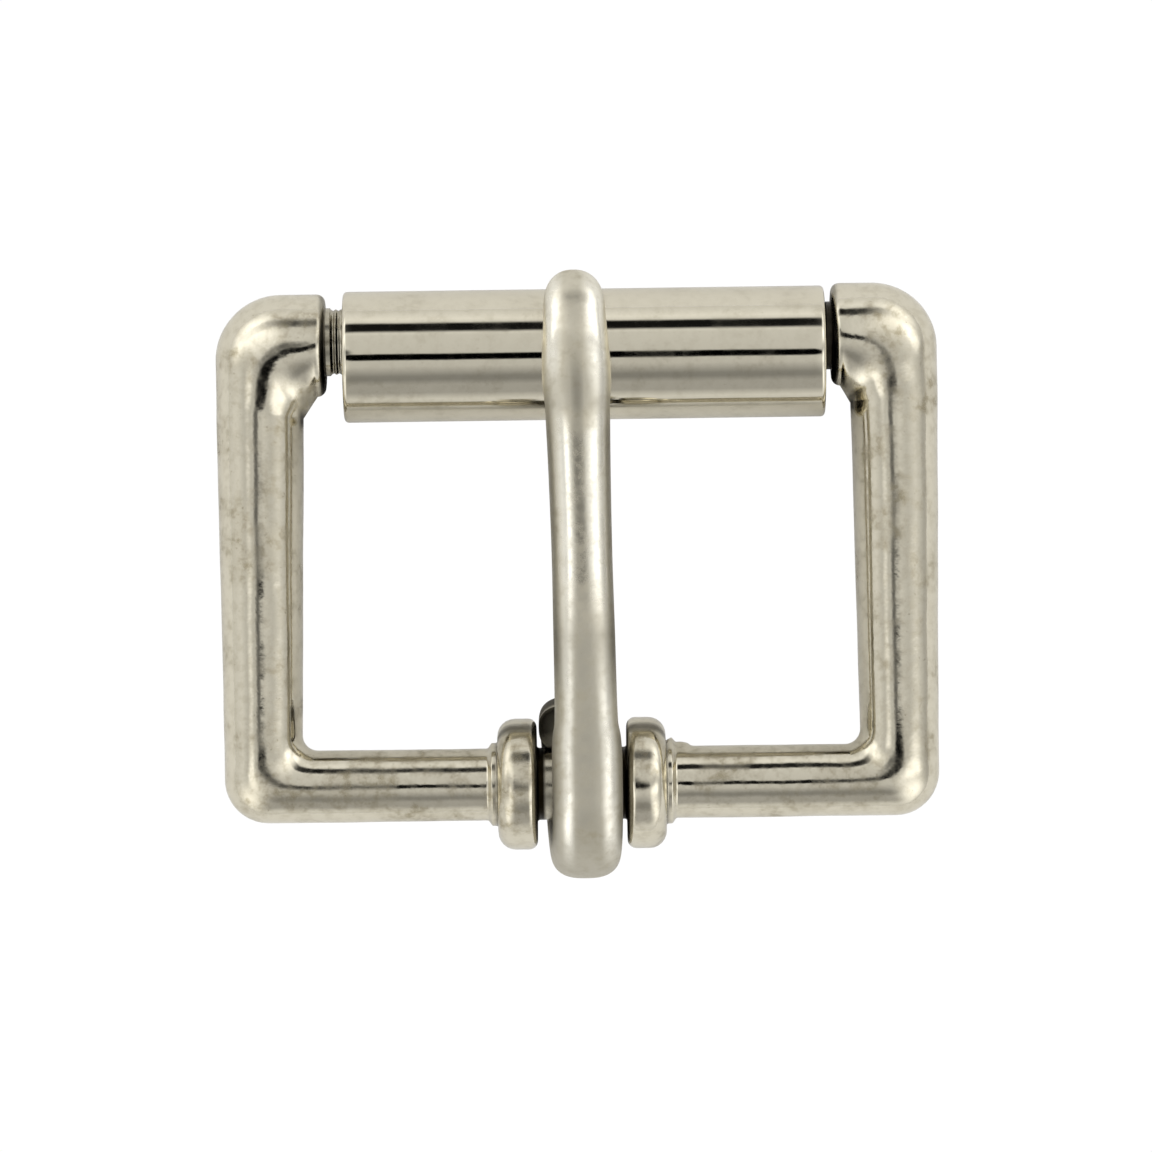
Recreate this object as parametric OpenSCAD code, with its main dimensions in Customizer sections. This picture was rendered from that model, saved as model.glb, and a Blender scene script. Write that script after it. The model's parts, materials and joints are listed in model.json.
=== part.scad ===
// Roller buckle for a 25 mm strap: a cast frame, a roller of rolled sheet and a tongue.
//
// The buckle lies face up on a flat surface at z = 0, as it does by itself. X runs across
// the strap, Y runs along it from the heel bar to the roller, and Z points up. The origin
// is on the surface, under the middle of the whole outline.
//
// The frame is drawn in its own plane, with the heel bar's axis on X and the front bar's
// axis at y = bar_pitch, and is then laid down: the tongue's loop carries the heel bar and
// the two lugs stand on the surface, so the frame slopes down to the roller.

/* [Frame] */
// Clear width between the side bars at the heel bar
inner_w = 25.5; // [24:0.1:40]
// Distance from the heel bar's axis to the front bar's axis
bar_pitch = 20.4; // [18:0.05:30]
// Diameter of the heel bar, which the strap folds round
heel_d = 3.3; // [2.8:0.1:3.6]
// Diameter of a side bar where it meets the heel bar
side_d_heel = 3.6; // [3:0.1:4.2]
// Diameter of a side bar where it turns into its lug
side_d_front = 4; // [3.4:0.1:4.6]
// Radius of the two outer corners at the heel bar
heel_corner_r = 2; // [1:0.1:2.4]
// Radius of the two outer corners beside the roller
front_corner_r = 3; // [2:0.1:4]
// Radius of the fillet inside each corner at the heel bar
heel_fillet_r = 0.7; // [0.4:0.1:1.5]
// Length of the slope that leads from a side bar to its lug
lug_slope = 0.9; // [0.5:0.1:1.5]

/* [Lugs and front bar] */
// Height of a lug along the strap
lug_h = 4.7; // [4.3:0.1:5.4]
// Depth of a lug from front to back
lug_depth = 4.7; // [4.2:0.1:5.4]
// How far a lug reaches in past its side bar
lug_reach = 0.95; // [0.8:0.05:1.4]
// How much further the left lug reaches in than that, and the right one less
lug_shift = 0.1; // [0:0.05:0.25]
// Rounding of a lug's end
lug_round = 0.4; // [0.2:0.05:0.5]
// Distance from the front bar's axis back to the middle of the lugs
lug_set_back = 0.05; // [0:0.05:0.5]
// How much further out than that the right lug stands, and the left one less
lug_skew = 0.1; // [0:0.05:0.2]
// Diameter of the front bar, which the roller turns on
axle_d = 3; // [2.6:0.1:3.4]
// Width of the foot that joins the front bar to each lug
axle_foot_w = 0.25; // [0.1:0.05:0.3]
// Height of that foot over the front bar
axle_foot_h = 0.06; // [0.05:0.01:0.2]
// Number of turned grooves at each end of the front bar
groove_count = 2; // [1:1:3]
// Width of one groove
groove_w = 0.12; // [0.08:0.01:0.15]
// Depth of one groove
groove_depth = 0.06; // [0.05:0.01:0.2]

/* [Stops on the heel bar] */
// Clear width between the two stops, where the tongue's loop turns
stop_gap = 4.1; // [4:0.1:5]
// Width of a stop along the heel bar
stop_w = 1.8; // [1.4:0.05:2.4]
// Diameter of a stop
stop_d = 6; // [5:0.1:7]
// Rounding of a stop's outer edge
stop_round = 0.8; // [0.3:0.05:0.8]
// Rounding of its inner edge, beside the loop
stop_edge_r = 0.4; // [0.2:0.05:0.5]
// Diameter of the foot on the outer side of a stop
stop_foot_d = 3.8; // [3.6:0.1:4.4]
// Width of that foot
stop_foot_w = 0.45; // [0.2:0.05:0.8]

/* [Roller] */
// Outer diameter of the roller
roller_d = 6; // [5.8:0.1:6.4]
// Thickness of the sheet that it is rolled from
sheet_t = 0.5; // [0.4:0.05:0.6]
// Clearance between each end of the roller and its lug, with the roller half way
roller_end_gap = 0.6; // [0.4:0.05:0.9]
// How far the roller has slid to the right from half way between the lugs
roller_slide = 0.25; // [-0.3:0.05:0.3]
// Clearance where the front bar touches the inside of the roller
roller_fit = 0.05; // [0.02:0.01:0.1]
// Width of the open seam along the roller
seam_w = 0.12; // [0.05:0.01:0.3]
// Angle of the seam, from straight up towards the heel bar
seam_angle = 50; // [30:1:150]
// Rounding of the roller's outer edges at its ends
roller_round = 0.2; // [0.1:0.05:0.3]

/* [Tongue] */
// Outer radius of the loop round the heel bar
loop_r = 4.35; // [4.1:0.05:4.8]
// Radial clearance between the loop and the heel bar
loop_fit = 0.08; // [0.03:0.01:0.1]
// Width of the loop along the heel bar
loop_w = 3.2; // [2.8:0.1:3.3]
// How far the loop has slid to the right along the heel bar
loop_slide = 0.25; // [0.2:0.05:0.3]
// How far the cut end of the loop stands to the left of the rest of it
curl_shift = 0.6; // [0:0.05:0.65]
// Outer radius of the loop at its cut end
curl_end_r = 3.95; // [3.4:0.05:4]
// Thickness of the tongue where it lies over the roller
tongue_t = 2.4; // [2:0.1:2.5]
// Distance from the heel bar's axis to the tip of the tongue
tongue_reach = 23.5; // [23.4:0.05:36]
// How far the tip stands to the left of the loop
tongue_lean = 0.35; // [0:0.05:0.5]
// Clearance between the tongue and the roller that it lies on
tongue_gap = 0.1; // [0.05:0.01:0.2]

/* [Hidden] */
$fn = 96;
// Points round one section of a side bar or of the tongue
RING_N = 24;
// Small length by which one face lies inside another
EPS = 0.02;
// Least cosine or sine that a length is divided by
TINY = 0.0001;

// Half sizes of the round bars
heel_r = heel_d / 2;
side_r_heel = side_d_heel / 2;
side_r_front = side_d_front / 2;
axle_r = axle_d / 2;

// Places in the frame's own plane
side_x = inner_w / 2 + side_r_heel;
heel_pivot = [inner_w / 2 - heel_fillet_r, heel_r + heel_fillet_r];
lug_face_x = side_x - side_r_front - lug_reach;
lug_y = bar_pitch - lug_set_back;

// The same for one side, which is 1 for the right and -1 for the left
function face_x(side) = lug_face_x + side * lug_shift;
function slope_l(side) = lug_slope * (lug_reach - side * lug_shift) / lug_reach;
function middle_y(side) = lug_y + side * lug_skew;
function front_pivot(side) = [face_x(side) + lug_round, middle_y(side) - lug_h / 2 - slope_l(side)];

// Slope of the frame as it lies on the loop and the lug that stands out further
rest_slope = asin((loop_r - lug_depth / 2) / (lug_y + lug_skew));

// Places on the surface, from the heel bar's axis
axle_y = bar_pitch * cos(rest_slope);
axle_z = loop_r - bar_pitch * sin(rest_slope);
roller_r = roller_d / 2;
bore_r = roller_r - sheet_t;
roller_l = 2 * (lug_face_x - roller_end_gap);
roller_play = bore_r - axle_r - roller_fit;
roller_y = axle_y - sqrt(max(0, pow(roller_play, 2) - pow(roller_r - axle_z, 2)));

// The heel bar's axis, with the whole outline centred on the origin
heel_axis = [0, (loop_r - tongue_reach) / 2, loop_r];

// Loop of the tongue
loop_bore_r = heel_r + loop_fit;
// The rounded bar reaches a little inside the bore, which then cuts it to a true round
BORE_STOCK = 0.91;
loop_inner_r = loop_bore_r * BORE_STOCK;
loop_t = loop_r - loop_inner_r;
// Angles round the loop, from straight ahead over the top to the cut end
LOOP_TOP = 90;
LOOP_BOTTOM = 270;
CURL_END = 380;
CURL_STEP = 15;
// Rounding of the cut end, as a share of the loop's thickness
CURL_END_ROUND = 0.09;
// Squareness of the loop's section
LOOP_SQUARE = 2.7;
// Height of the tongue's middle over the heel bar's axis, where it lies on the roller
bear_z = roller_d + tongue_gap + tongue_t / 2 - loop_r;
// Shares of tongue_reach at which the shank has the loop's thickness no more, and lies level
SHANK_START = 0.14;
SHANK_LEVEL = 0.8;
// How late the shank leans over: 1 is a straight line
LEAN_POWER = 1.4;

// Sections of the shank from the loop to the tip. Columns: place as a share of
// tongue_reach, width as a share of loop_w, thickness as a share of tongue_t, drop of the
// middle as a share of tongue_t, squareness of the section (2 is an ellipse)
SHANK = [
    [0.06, 1.00, 1.10, 0.00, 2.7],
    [0.10, 0.97, 1.08, 0.00, 2.7],
    [0.13, 0.90, 1.06, 0.00, 2.7],
    [0.18, 0.885, 1.05, 0.00, 2.6],
    [0.30, 0.875, 1.05, 0.00, 2.5],
    [0.45, 0.86, 1.04, 0.00, 2.3],
    [0.60, 0.88, 1.03, 0.00, 2.2],
    [0.72, 0.915, 1.02, 0.00, 2.2],
    [0.745, 0.925, 1.01, 0.00, 2.2],
    [0.765, 0.955, 1.00, 0.00, 2.3],
    [0.79, 0.98, 1.00, 0.00, 2.3],
    [0.83, 0.965, 1.00, 0.00, 2.3],
    [0.88, 0.915, 0.98, 0.03, 2.3],
    [0.92, 0.88, 0.92, 0.10, 2.3],
    [0.955, 0.82, 0.82, 0.19, 2.2],
    [0.975, 0.72, 0.71, 0.27, 2.1],
    [0.989, 0.55, 0.56, 0.33, 2.0],
    [0.997, 0.33, 0.36, 0.37, 2.0],
    [1.000, 0.12, 0.14, 0.39, 2.0],
];

function signed_pow(v, p) = sign(v) * pow(abs(v), p);
function mix(a, b, t) = a + (b - a) * t;
// Share that leaves and arrives level, for a share that runs evenly from 0 to 1
function ease(t) = (1 - cos(180 * t)) / 2;

// Closed surface over a list of rings that all have the same number of points
module skin(rings) {
    n = len(rings[0]);
    last = len(rings) - 1;
    sides = [for (j = [0 : last - 1], i = [0 : n - 1])
        let (a = j * n + i, b = j * n + (i + 1) % n)
        each [[a, b, b + n], [a, b + n, a + n]]];
    start_cap = [for (i = [n - 1 : -1 : 0]) i];
    end_cap = [for (i = [0 : n - 1]) last * n + i];
    polyhedron([for (ring = rings) each ring], concat(sides, [start_cap, end_cap]));
}

// Distance from a pivot to the rounded outer corner of two walls, along an angle from X
function corner_reach(pivot, walls, radius, angle) =
    let (to_centre = walls - [radius, radius] - pivot,
         along = to_centre * [cos(angle), sin(angle)],
         to_arc = along + sqrt(max(0, radius * radius - to_centre * to_centre + along * along)),
         to_x_wall = (walls[0] - pivot[0]) / max(cos(angle), TINY),
         to_y_wall = (walls[1] - pivot[1]) / max(sin(angle), TINY))
    to_x_wall * sin(angle) < to_centre[1] ? to_x_wall
    : to_y_wall * cos(angle) < to_centre[0] ? to_y_wall
    : to_arc;

// Elliptical section between two distances from a pivot. flip is -1 where Y points back
function fan_ring(pivot, angle, near, far, half_depth, flip) =
    [for (i = [0 : RING_N - 1])
        let (turn = 360 * i / RING_N,
             out = (near + far) / 2 + (far - near) / 2 * cos(turn))
        [pivot[0] + out * cos(angle), flip * (pivot[1] + out * sin(angle)),
         half_depth * sin(turn)]];

// Corner at the heel bar: sections from the bar's end round to the side bar
function heel_corner() =
    let (pivot = [heel_pivot[0], -heel_pivot[1]],
         walls = [side_x + side_r_heel, heel_r - EPS])
    [for (angle = [90 : -11.25 : 0])
        fan_ring(pivot, angle, heel_fillet_r + EPS * sin(angle),
                 corner_reach(pivot, walls, heel_corner_r, angle),
                 mix(side_r_heel, heel_r - EPS, ease(angle / 90)), -1)];

// Corner beside the roller: sections from the side bar round to the lug
function front_corner(side) =
    let (pivot = front_pivot(side),
         near_side = side_x - side_r_front - pivot[0],
         walls = [side_x + side_r_front, middle_y(side) + lug_h / 2])
    [for (angle = [0 : 10 : 90])
        fan_ring(pivot, angle, 1 / (cos(angle) / near_side + sin(angle) / slope_l(side)),
                 corner_reach(pivot, walls, front_corner_r, angle),
                 mix(side_r_front, lug_depth / 2, ease(angle / 90)), 1)];

// Rounded end of a lug
function lug_end(side) =
    [for (turn = [30 : 30 : 90])
        let (in = lug_round * (1 - cos(turn)),
             near = slope_l(side),
             pivot = front_pivot(side) - [lug_round * sin(turn), 0])
        fan_ring(pivot, 90, near + in, near + lug_h - in, lug_depth / 2 - in, 1)];

// One side of the frame, from the heel bar's end to the face of the lug. It is drawn on the
// right, with the lug of the right side for 1 and of the left side for -1
module side_bar(side) {
    skin(concat(heel_corner(), front_corner(side), lug_end(side)));
}

// Half outline of the heel bar and its stops: radius along X, place along Y
module heel_outline() {
    square_half = heel_pivot[0];
    translate([0, -square_half]) square([heel_r, 2 * square_half]);
    for (s = [-1, 1]) {
        inner = stop_gap / 2;
        outer = inner + stop_w;
        stop_r = stop_d / 2;
        polygon([[0, s * inner], [stop_r - stop_edge_r, s * inner],
                 [stop_r - stop_edge_r, s * (inner + stop_edge_r)], [stop_r, s * (inner + stop_edge_r)],
                 [stop_r, s * (outer - stop_round)], [stop_r - stop_round, s * (outer - stop_round)],
                 [stop_r - stop_round, s * outer], [0, s * outer]]);
        translate([stop_r - stop_edge_r, s * (inner + stop_edge_r)]) circle(r = stop_edge_r);
        translate([stop_r - stop_round, s * (outer - stop_round)]) circle(r = stop_round);
        polygon([[0, s * inner], [stop_foot_d / 2, s * inner],
                 [stop_foot_d / 2, s * (outer + stop_foot_w / 2)],
                 [heel_r, s * (outer + stop_foot_w)], [0, s * (outer + stop_foot_w)]]);
    }
}

// Half outline of the front bar, with its feet and grooves
module axle_outline() {
    left_l = face_x(-1) + lug_round;
    right_l = face_x(1) + lug_round;
    foot_l = axle_foot_w + lug_round;
    difference() {
        union() {
            translate([0, -left_l]) square([axle_r, left_l + right_l]);
            for (y = [-left_l, right_l - foot_l])
                translate([0, y]) square([axle_r + axle_foot_h, foot_l]);
        }
        for (s = [-1, 1], i = [0 : groove_count - 1])
            translate([axle_r - groove_depth,
                       s * (face_x(s) - axle_foot_w - (1.5 + 2 * i) * groove_w) - groove_w / 2])
                square([2 * groove_depth, groove_w]);
    }
}

// Lays what is drawn in the frame's plane down on the surface
module lay_down() {
    translate(heel_axis) rotate([-rest_slope, 0, 0]) children();
}

module frame() {
    color([0.80, 0.78, 0.71]) lay_down() {
        rotate([0, 90, 0]) rotate_extrude() heel_outline();
        translate([0, bar_pitch, 0]) rotate([0, 90, 0]) rotate_extrude() axle_outline();
        side_bar(1);
        mirror([1, 0, 0]) side_bar(-1);
    }
}

// Half section of the rolled sheet: radius along X, place along Y
module sheet_outline() {
    half_l = roller_l / 2;
    translate([bore_r, -half_l]) square([sheet_t - roller_round, roller_l]);
    translate([bore_r, roller_round - half_l]) square([sheet_t, roller_l - 2 * roller_round]);
    for (s = [-1, 1])
        translate([roller_r - roller_round, s * (half_l - roller_round)]) circle(r = roller_round);
}

module roller() {
    color([0.83, 0.81, 0.75])
        translate([lug_shift + roller_slide, heel_axis[1] + roller_y, roller_r])
            difference() {
                rotate([0, 90, 0]) rotate_extrude() sheet_outline();
                rotate([seam_angle, 0, 0])
                    translate([-roller_l, -seam_w / 2, axle_r])
                        cube([2 * roller_l, seam_w, roller_r]);
            }
}

// Section of the tongue's bar at a centre and a direction of its outer face
function bar_ring(x, centre, outward, width, thickness, squareness) =
    [for (i = [0 : RING_N - 1])
        let (turn = 360 * i / RING_N,
             across = width / 2 * signed_pow(cos(turn), 2 / squareness),
             out = thickness / 2 * signed_pow(sin(turn), 2 / squareness))
        [x + across, centre[0] + out * cos(outward), centre[1] + out * sin(outward)]];

// Outer radius of the loop at an angle: full up to the bottom, then down to the cut end
function loop_outer(angle) =
    mix(loop_r, curl_end_r, ease(max(0, (angle - LOOP_BOTTOM) / (CURL_END - LOOP_BOTTOM))));

function loop_ring(angle, shrink) =
    let (outer = loop_outer(angle), r = (outer + loop_inner_r) / 2)
    bar_ring(loop_slide - curl_shift * ease((angle - LOOP_TOP) / (CURL_END - LOOP_TOP)),
             [r * cos(angle), r * sin(angle)], angle,
             loop_w - 2 * shrink, outer - loop_inner_r - 2 * shrink, LOOP_SQUARE);

// The loop, from its cut end back under the heel bar and up over it
function loop_rings() = concat(
    [loop_ring(CURL_END, CURL_END_ROUND * loop_t)],
    [for (angle = [CURL_END - CURL_STEP / 3 : -CURL_STEP : LOOP_TOP + 1]) loop_ring(angle, 0)],
    [loop_ring(LOOP_TOP, 0)]);

// The shank, which leans to the left towards its tip
function shank_rings() =
    [for (row = SHANK)
        let (loop_z = (loop_r + loop_inner_r) / 2,
             level = mix(loop_z, bear_z, min(1, row[0] / SHANK_LEVEL)),
             t = mix(loop_t, tongue_t * row[2], min(1, row[0] / SHANK_START)))
        bar_ring(loop_slide - tongue_lean * pow(row[0], LEAN_POWER),
                 [tongue_reach * row[0], level - tongue_t * row[3]],
                 90, loop_w * row[1], t, row[4])];

module tongue() {
    color([0.77, 0.75, 0.68])
        translate(heel_axis)
            difference() {
                skin(concat(loop_rings(), shank_rings()));
                rotate([0, 90, 0]) cylinder(h = 3 * loop_w, r = loop_bore_r, center = true);
            }
}

frame();
roller();
tongue();
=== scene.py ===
# %% [markdown]
# # A roller buckle, dressed around its working model
#
# The working model gives three solids at their real size: the cast frame, the roller on its
# front bar, and the tongue on its heel bar. Their places, the bars' axes and the slope at
# which the buckle lies are fixed. This lesson makes the surfaces that the eye sees: the round
# bars of the casting, the rolled sheet of the roller, the bent bar of the tongue, and the
# nickel plate on all three. A polished buckle is mostly its reflections, so the shapes have
# to be smooth and the light around them has to be planned.

# %% Load the working model
import json
from math import asin, atan2, cos, degrees, pi, radians, sin

import bmesh
import bpy
import numpy as np
from mathutils import Matrix, Vector, noise


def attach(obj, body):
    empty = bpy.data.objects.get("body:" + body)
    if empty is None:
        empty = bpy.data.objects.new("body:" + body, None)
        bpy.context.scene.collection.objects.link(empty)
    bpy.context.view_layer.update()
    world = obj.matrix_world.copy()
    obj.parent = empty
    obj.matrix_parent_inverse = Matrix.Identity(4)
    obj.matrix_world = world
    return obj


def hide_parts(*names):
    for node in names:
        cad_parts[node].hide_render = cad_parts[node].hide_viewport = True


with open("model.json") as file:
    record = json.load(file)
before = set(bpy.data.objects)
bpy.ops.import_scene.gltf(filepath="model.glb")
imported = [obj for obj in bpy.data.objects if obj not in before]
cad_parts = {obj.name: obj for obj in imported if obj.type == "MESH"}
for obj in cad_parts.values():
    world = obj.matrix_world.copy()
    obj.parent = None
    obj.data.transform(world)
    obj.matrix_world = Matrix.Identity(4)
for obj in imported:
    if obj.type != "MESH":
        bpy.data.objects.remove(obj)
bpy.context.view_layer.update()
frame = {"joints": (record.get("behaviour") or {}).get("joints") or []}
MM = 0.001

# %% [markdown]
# ## Driving sizes
#
# The two joints say where the heel bar and the roller's middle are. The other sizes are the
# buckle's own, and each is written once. The frame is drawn in its own plane, where the heel
# bar lies on X, and is then laid down at its slope, just as the real one lies on the loop of
# its tongue and on its two lugs.

# %% Sizes and places
axes = {joint["name"]: Vector(joint["pos_m"]) for joint in frame["joints"]}
HEEL_AXIS = axes["tongue_swing"]
ROLLER_AXIS = axes["roller_spin"]

INNER_W = 25.5 * MM
BAR_PITCH = 20.4 * MM
HEEL_R = 1.65 * MM
SIDE_R_HEEL = 1.8 * MM
SIDE_R_FRONT = 2.0 * MM
HEEL_CORNER_R = 2.0 * MM
FRONT_CORNER_R = 3.0 * MM
HEEL_FILLET_R = 0.7 * MM
LUG_SLOPE = 0.9 * MM
LUG_H = 4.7 * MM
LUG_DEPTH = 4.7 * MM
LUG_REACH = 0.95 * MM
LUG_SHIFT = 0.1 * MM
LUG_ROUND = 0.4 * MM
LUG_SET_BACK = 0.05 * MM
LUG_SKEW = 0.1 * MM
LEFT, RIGHT = -1, 1

SIDE_X = INNER_W / 2 + SIDE_R_HEEL
HEEL_PIVOT = (INNER_W / 2 - HEEL_FILLET_R, HEEL_R + HEEL_FILLET_R)
LUG_FACE_X = SIDE_X - SIDE_R_FRONT - LUG_REACH
LUG_Y = BAR_PITCH - LUG_SET_BACK
REST_SLOPE = asin((HEEL_AXIS.z - LUG_DEPTH / 2) / (LUG_Y + LUG_SKEW))
LAY_DOWN = Matrix.Translation(HEEL_AXIS) @ Matrix.Rotation(-REST_SLOPE, 4, "X")
print(f"the frame lies at {degrees(REST_SLOPE):.2f} degrees")

# %% [markdown]
# ## A small language for node trees
#
# Materials, the studio and the pieces that follow a rule are all node trees. Building each
# node by hand takes five lines, so one class adds a node from its type, settings and sockets'
# values. Another wraps a socket, so that maths on it reads as Python, such as `1 - mask * 0.4`.

# %% Node tree helpers
def operator(operation):
    """The plain and the reflected form of one of Python's operators, as a Math node."""
    def plain(self, other):
        return self.tree.maths(operation, self, other)

    def reflected(self, other):
        return self.tree.maths(operation, other, self)

    return plain, reflected


class Term:
    """A number that flows through a node tree."""

    def __init__(self, tree, socket):
        self.tree = tree
        self.socket = socket

    def maths(self, operation, *others):
        return self.tree.maths(operation, self, *others)

    __add__, __radd__ = operator("ADD")
    __sub__, __rsub__ = operator("SUBTRACT")
    __mul__, __rmul__ = operator("MULTIPLY")
    __truediv__, __rtruediv__ = operator("DIVIDE")
    __pow__, __rpow__ = operator("POWER")


class Tree:
    """Adds nodes to a node tree from their type, settings and socket values."""

    def __init__(self, tree):
        self.tree = tree

    def node(self, kind, settings=None, sockets=None):
        node = self.tree.nodes.new(kind)
        for name, value in (settings or {}).items():
            if name == "stops":
                set_stops(node.color_ramp, value)
            else:
                setattr(node, name, value)
        for name, value in (sockets or {}).items():
            if isinstance(value, Term):
                self.tree.links.new(value.socket, node.inputs[name])
            else:
                node.inputs[name].default_value = value
        return node

    def add(self, kind, settings=None, sockets=None, output=0):
        return Term(self, self.node(kind, settings, sockets).outputs[output])

    def maths(self, operation, *values):
        return self.add("ShaderNodeMath", {"operation": operation}, dict(enumerate(values)))

    def soft_step(self, value, low, high):
        """Rises smoothly from 0 to 1 while a value goes from low to high."""
        sockets = {"Value": value, "From Min": low, "From Max": high}
        return self.add("ShaderNodeMapRange", {"interpolation_type": "SMOOTHSTEP"}, sockets)


def set_stops(ramp, stops):
    """Fills a colour ramp from pairs of a place and a grey level."""
    while len(ramp.elements) < len(stops):
        ramp.elements.new(1.0)
    for element, (place, level) in zip(ramp.elements, stops):
        element.position = place
        element.color = (level, level, level, 1.0)


def emptied(owner):
    """The node tree of a new material or world, with nothing in it yet."""
    owner.use_nodes = True
    owner.node_tree.nodes.clear()
    return Tree(owner.node_tree)


print("a Term knows:", [name for name in vars(Term) if name.startswith("__r")])

# %% [markdown]
# ## Skins over rings
#
# A bar that bends, swells and tapers is best made as a loft: rings of points across the bar,
# joined by faces. All rings have as many points, so the faces are tidy quads and a highlight
# runs along the bar without a kink. A curve with a bevel could make a bar too, but not one
# whose section changes from a circle to a lug.

# %% Loft helpers
RING_N = 96
MERGE_DIST = 1e-7
TINY = 1e-12
QUARTER = pi / 2


def ease(share):
    """A share that leaves and arrives level, for one that runs evenly from 0 to 1."""
    return (1 - cos(pi * share)) / 2


def mix(a, b, share):
    return a + (b - a) * share


def placed(name, data):
    """A new object in the scene, at the origin."""
    thing = bpy.data.objects.new(name, data)
    bpy.context.scene.collection.objects.link(thing)
    return thing


def outwards(mesh):
    """Merges doubles and turns every face outwards, which a negative volume shows is needed."""
    work = bmesh.new()
    work.from_mesh(mesh)
    bmesh.ops.remove_doubles(work, verts=work.verts, dist=MERGE_DIST)
    bmesh.ops.recalc_face_normals(work, faces=work.faces)
    if work.calc_volume(signed=True) < 0:
        bmesh.ops.reverse_faces(work, faces=work.faces)
    work.to_mesh(mesh)
    work.free()
    mesh.shade_smooth()


def loft(name, rings):
    """A closed mesh over rings of points, with its ends closed by a fan."""
    rings = np.asarray(rings, float)
    count, around = rings.shape[:2]
    points = np.vstack([rings.reshape(-1, 3), rings[0].mean(0), rings[-1].mean(0)])
    here = np.arange((count - 1) * around).reshape(count - 1, around)
    beside = np.roll(here, -1, axis=1)
    faces = np.stack([here, beside, beside + around, here + around], -1).reshape(-1, 4).tolist()
    last = (count - 1) * around
    for i in range(around):
        j = (i + 1) % around
        faces.append([j, i, count * around])
        faces.append([last + i, last + j, count * around + 1])
    mesh = bpy.data.meshes.new(name)
    mesh.from_pydata(points.tolist(), [], faces)
    outwards(mesh)
    return placed(name, mesh)


print(f"a ring has {RING_N} points, one every {360 / RING_N:.2f} degrees")

# %% [markdown]
# ## The frame, one casting
#
# The frame is cast in one piece: heel bar, two stops, two side bars that swell towards the
# roller, and two lugs. One loft runs round all of it, so no seam shows where the real one has
# none. At each corner the rings fan out from a pivot inside it, which gives the tight inner
# corner and the full, rounded outer one. A bevelled curve would pinch there.

# %% Corner rings
TURNS = np.linspace(0, 2 * pi, RING_N, endpoint=False)


def corner_reach(pivot, walls, radius, angle):
    """Distance from a pivot to the rounded outer corner of two walls."""
    to_centre = Vector((walls[0] - radius - pivot[0], walls[1] - radius - pivot[1]))
    heading = Vector((cos(angle), sin(angle)))
    along = to_centre.dot(heading)
    to_x_wall = (walls[0] - pivot[0]) / max(heading.x, TINY)
    to_y_wall = (walls[1] - pivot[1]) / max(heading.y, TINY)
    if to_x_wall * heading.y < to_centre.y:
        return to_x_wall
    if to_y_wall * heading.x < to_centre.x:
        return to_y_wall
    return along + max(0, radius ** 2 - to_centre.length_squared + along ** 2) ** 0.5


def fan_ring(pivot, angle, near, far, half_depth, flip):
    """An oval between two distances from a pivot. Flip is -1 where y runs to the heel's side."""
    out = (near + far) / 2 + (far - near) / 2 * np.cos(TURNS)
    return np.stack([pivot[0] + out * cos(angle), flip * (pivot[1] + out * sin(angle)),
                     half_depth * np.sin(TURNS)], -1)


def corner_rings(pivot, walls, radius, half_depths, near_at, angles, flip):
    """Rings that fan out round a pivot, from one bar's section to the other's."""
    return [fan_ring(pivot, angle, near_at(angle), corner_reach(pivot, walls, radius, angle),
                     mix(*half_depths, ease(angle / QUARTER)), flip) for angle in np.radians(angles)]


def heel_corner(steps=28):
    """Rings from the heel bar round to the side bar."""
    walls = (SIDE_X + SIDE_R_HEEL, HEEL_R)
    return corner_rings((HEEL_PIVOT[0], -HEEL_PIVOT[1]), walls, HEEL_CORNER_R, (SIDE_R_HEEL, HEEL_R),
                        lambda angle: HEEL_FILLET_R, np.linspace(90, 0, steps), -1)


print("a heel corner has", len(heel_corner()), "rings")

# %% [markdown]
# ## The lugs
#
# A lug is where a side bar turns in to hold the front bar. Its section grows from the side
# bar's circle to a deeper oval, its rim is rounded, and a slope leads back to the side bar.
# The left and the right lug differ by a tenth of a millimetre, as castings do, so the
# functions take a side, which is -1 or 1.

# %% Lug rings
def face_x(side):
    """Distance from the middle to the face of the left or right lug."""
    return LUG_FACE_X + side * LUG_SHIFT


def slope_length(side):
    return LUG_SLOPE * (LUG_REACH - side * LUG_SHIFT) / LUG_REACH


def middle_y(side):
    return LUG_Y + side * LUG_SKEW


def front_pivot(side):
    return (face_x(side) + LUG_ROUND, middle_y(side) - LUG_H / 2 - slope_length(side))


def front_corner(side, steps=40):
    """Rings from the side bar round to the lug."""
    pivot = front_pivot(side)
    near_side = SIDE_X - SIDE_R_FRONT - pivot[0]
    walls = (SIDE_X + SIDE_R_FRONT, middle_y(side) + LUG_H / 2)
    return corner_rings(pivot, walls, FRONT_CORNER_R, (SIDE_R_FRONT, LUG_DEPTH / 2),
                        lambda angle: 1 / (cos(angle) / near_side + sin(angle) / slope_length(side)),
                        np.linspace(0, 90, steps), 1)


def between(first, last, count):
    """Rings between two, both left out."""
    return [mix(first, last, share) for share in np.linspace(0, 1, count + 2)[1:-1]]


def lug_end(side, round_steps=8, face_steps=6):
    """The lug's rounded rim, and rings that shrink to the middle of its face."""
    rings = []
    near = slope_length(side)
    for turn in np.linspace(0, QUARTER, round_steps + 1)[1:]:
        inset = LUG_ROUND * (1 - cos(turn))
        pivot = (front_pivot(side)[0] - LUG_ROUND * sin(turn), front_pivot(side)[1])
        rings.append(fan_ring(pivot, QUARTER, near + inset, near + LUG_H - inset,
                              LUG_DEPTH / 2 - inset, 1))
    return rings + between(rings[-1], rings[-1].mean(0), face_steps)


print("a lug and its corner have", len(front_corner(RIGHT) + lug_end(RIGHT)), "rings")

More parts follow.
